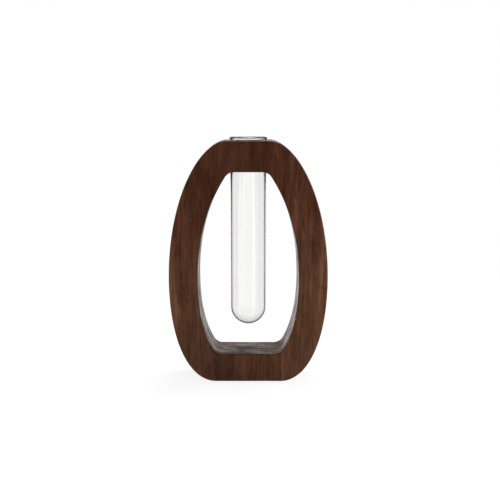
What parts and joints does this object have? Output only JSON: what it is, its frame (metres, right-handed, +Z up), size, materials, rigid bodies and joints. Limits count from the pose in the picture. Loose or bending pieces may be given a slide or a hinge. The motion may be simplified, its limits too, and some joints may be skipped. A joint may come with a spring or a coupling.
{
  "type": "test tube vase",
  "caption": "Egg-shaped walnut ring on a flat foot, with a round-bottomed glass tube hung by its flared lip in a bore through the top to hold a flower stem in water.",
  "frame": {"origin": "middle of the flat foot of the ring", "axes": "+Z up along the tube's axis, +X across the ring's width, +Y from the front face to the back"},
  "size_m": [0.1, 0.034, 0.1544],
  "materials": {
    "walnut": "satin",
    "glass": "polished"
  },
  "bodies": {
    "frame": {"walnut_frame": "walnut"},
    "tube": {"glass_tube": "glass"}
  },
  "joints": [
    {"name": "tube_lift", "type": "slide", "parent": "frame", "child": "tube", "axis": [0, 0, 1], "range_m": [0, 0.125]}
  ]
}
